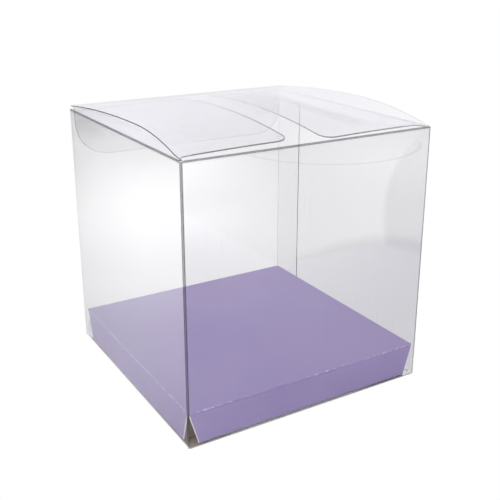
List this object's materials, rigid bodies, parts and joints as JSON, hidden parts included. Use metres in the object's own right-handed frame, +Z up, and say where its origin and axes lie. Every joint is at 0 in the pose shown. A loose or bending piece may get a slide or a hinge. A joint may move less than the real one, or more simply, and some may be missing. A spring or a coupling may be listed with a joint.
{
  "type": "favor box",
  "caption": "Clear folding carton in the shape of a cube, with a bowed tuck-in lid, dust flaps and a raised lilac card floor that displays a small gift.",
  "frame": {"origin": "middle of the underside", "axes": "+X along the front panel to the right, +Y from the front panel to the back panel, +Z up"},
  "size_m": [0.1, 0.1, 0.1054],
  "materials": {
    "clear_sheet": "clear gloss",
    "clear_fold": "clear gloss, stressed along the crease",
    "seam_adhesive": "clear film",
    "lilac_card": "satin coated card",
    "card_fold": "creased card"
  },
  "bodies": {
    "carton": {"front_panel": "clear_sheet", "right_panel": "clear_sheet", "back_panel": "clear_sheet", "left_panel": "clear_sheet", "front_left_fold": "clear_fold", "front_right_fold": "clear_fold", "back_left_fold": "clear_fold", "seam_fold": "clear_fold", "glue_flap": "clear_sheet", "seam_adhesive": "seam_adhesive", "lid_fold": "clear_fold", "left_flap_fold": "clear_fold", "right_flap_fold": "clear_fold", "bottom_lid_fold": "clear_fold", "left_bottom_fold": "clear_fold", "right_bottom_fold": "clear_fold", "left_bottom_flap": "clear_sheet", "right_bottom_flap": "clear_sheet"},
    "lid": {"lid_panel": "clear_sheet", "lid_tuck_fold": "clear_fold"},
    "lid_tuck": {"lid_tuck_flap": "clear_sheet"},
    "left_flap": {"left_dust_flap": "clear_sheet"},
    "right_flap": {"right_dust_flap": "clear_sheet"},
    "bottom_lid": {"bottom_lid_panel": "clear_sheet", "bottom_tuck_fold": "clear_fold"},
    "bottom_tuck": {"bottom_tuck_flap": "clear_sheet"},
    "base": {"base_deck": "lilac_card", "front_skirt_fold": "card_fold", "right_skirt_fold": "card_fold", "back_skirt_fold": "card_fold", "left_skirt_fold": "card_fold"},
    "front_skirt": {"front_skirt": "lilac_card"},
    "right_skirt": {"right_skirt": "lilac_card"},
    "back_skirt": {"back_skirt": "lilac_card"},
    "left_skirt": {"left_skirt": "lilac_card"}
  },
  "joints": [
    {"name": "lid_hinge", "type": "hinge", "parent": "carton", "child": "lid", "pos_m": [0, -0.04965, 0.09965], "axis": [1, 0, 0], "range_deg": [0, 170]},
    {"name": "lid_tuck_hinge", "type": "hinge", "parent": "lid", "child": "lid_tuck", "pos_m": [0, 0.04915, 0.10115], "axis": [1, 0, 0], "range_deg": [0, 36]},
    {"name": "left_flap_hinge", "type": "hinge", "parent": "carton", "child": "left_flap", "pos_m": [-0.04965, 0, 0.09965], "axis": [0, 1, 0], "range_deg": [0, 60], "stiffness_Nm_per_rad": 0.001, "springref_deg": -57.3},
    {"name": "right_flap_hinge", "type": "hinge", "parent": "carton", "child": "right_flap", "pos_m": [0.04965, 0, 0.09965], "axis": [0, -1, 0], "range_deg": [0, 60], "stiffness_Nm_per_rad": 0.001, "springref_deg": -57.3},
    {"name": "bottom_lid_hinge", "type": "hinge", "parent": "carton", "child": "bottom_lid", "pos_m": [0, -0.04965, 0.00035], "axis": [-1, 0, 0], "range_deg": [0, 170]},
    {"name": "bottom_tuck_hinge", "type": "hinge", "parent": "bottom_lid", "child": "bottom_tuck", "pos_m": [0, 0.04915, 0.00035], "axis": [-1, 0, 0], "range_deg": [0, 36]},
    {"name": "base_lift", "type": "slide", "parent": "carton", "child": "base", "axis": [0, 0, 1], "range_m": [0, 0.04]},
    {"name": "front_skirt_hinge", "type": "hinge", "parent": "base", "child": "front_skirt", "pos_m": [0, -0.049, 0.0127], "axis": [1, 0, 0], "range_deg": [0, 12], "stiffness_Nm_per_rad": 0.0005, "springref_deg": -17.19},
    {"name": "right_skirt_hinge", "type": "hinge", "parent": "base", "child": "right_skirt", "pos_m": [0.04865, 0, 0.0127], "axis": [0, 1, 0], "range_deg": [0, 12], "stiffness_Nm_per_rad": 0.0005, "springref_deg": -17.19},
    {"name": "back_skirt_hinge", "type": "hinge", "parent": "base", "child": "back_skirt", "pos_m": [0, 0.04766, 0.0127], "axis": [-1, 0, 0], "range_deg": [0, 12], "stiffness_Nm_per_rad": 0.0005, "springref_deg": -17.19},
    {"name": "left_skirt_hinge", "type": "hinge", "parent": "base", "child": "left_skirt", "pos_m": [-0.049, 0, 0.0127], "axis": [0, -1, 0], "range_deg": [0, 12], "stiffness_Nm_per_rad": 0.0005, "springref_deg": -17.19}
  ],
  "couplings": [
    {"joint": "lid_tuck_hinge", "follows": "lid_hinge", "ratio": 0.2},
    {"joint": "bottom_tuck_hinge", "follows": "bottom_lid_hinge", "ratio": 0.2}
  ]
}
